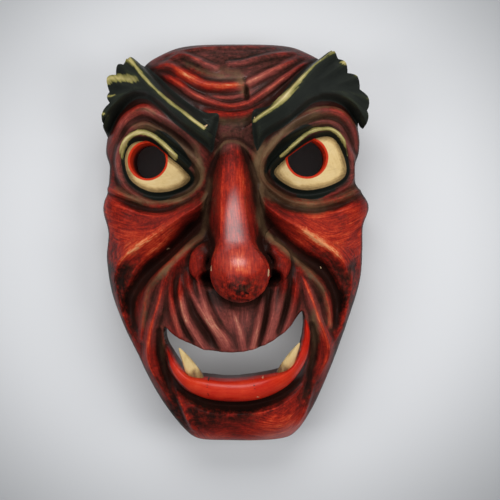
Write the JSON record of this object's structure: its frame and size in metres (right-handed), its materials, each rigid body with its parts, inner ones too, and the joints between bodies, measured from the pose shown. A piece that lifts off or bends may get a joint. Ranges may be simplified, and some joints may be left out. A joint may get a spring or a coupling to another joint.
{
  "type": "carved demon mask",
  "caption": "Carved wooden demon face mask with a hooked nose, heavy brows, pierced eyes, a wide open grin and inset fangs; hollow behind, with a flat rim.",
  "frame": {"origin": "middle of the mask's width and length, on the plane of its back rim", "axes": "+Z out of the face, +Y towards the forehead, +X towards the viewer's right; the mask lies on its rim with the face up"},
  "size_m": [0.201, 0.3, 0.114],
  "materials": {
    "painted_wood": "carved wood painted dark red with green-black brows and cream eyes, under glossy varnish",
    "fang": "whittled wood painted cream, under varnish"
  },
  "bodies": {
    "root": {"mask": "painted_wood", "left_fang": "fang", "right_fang": "fang"}
  },
  "joints": []
}
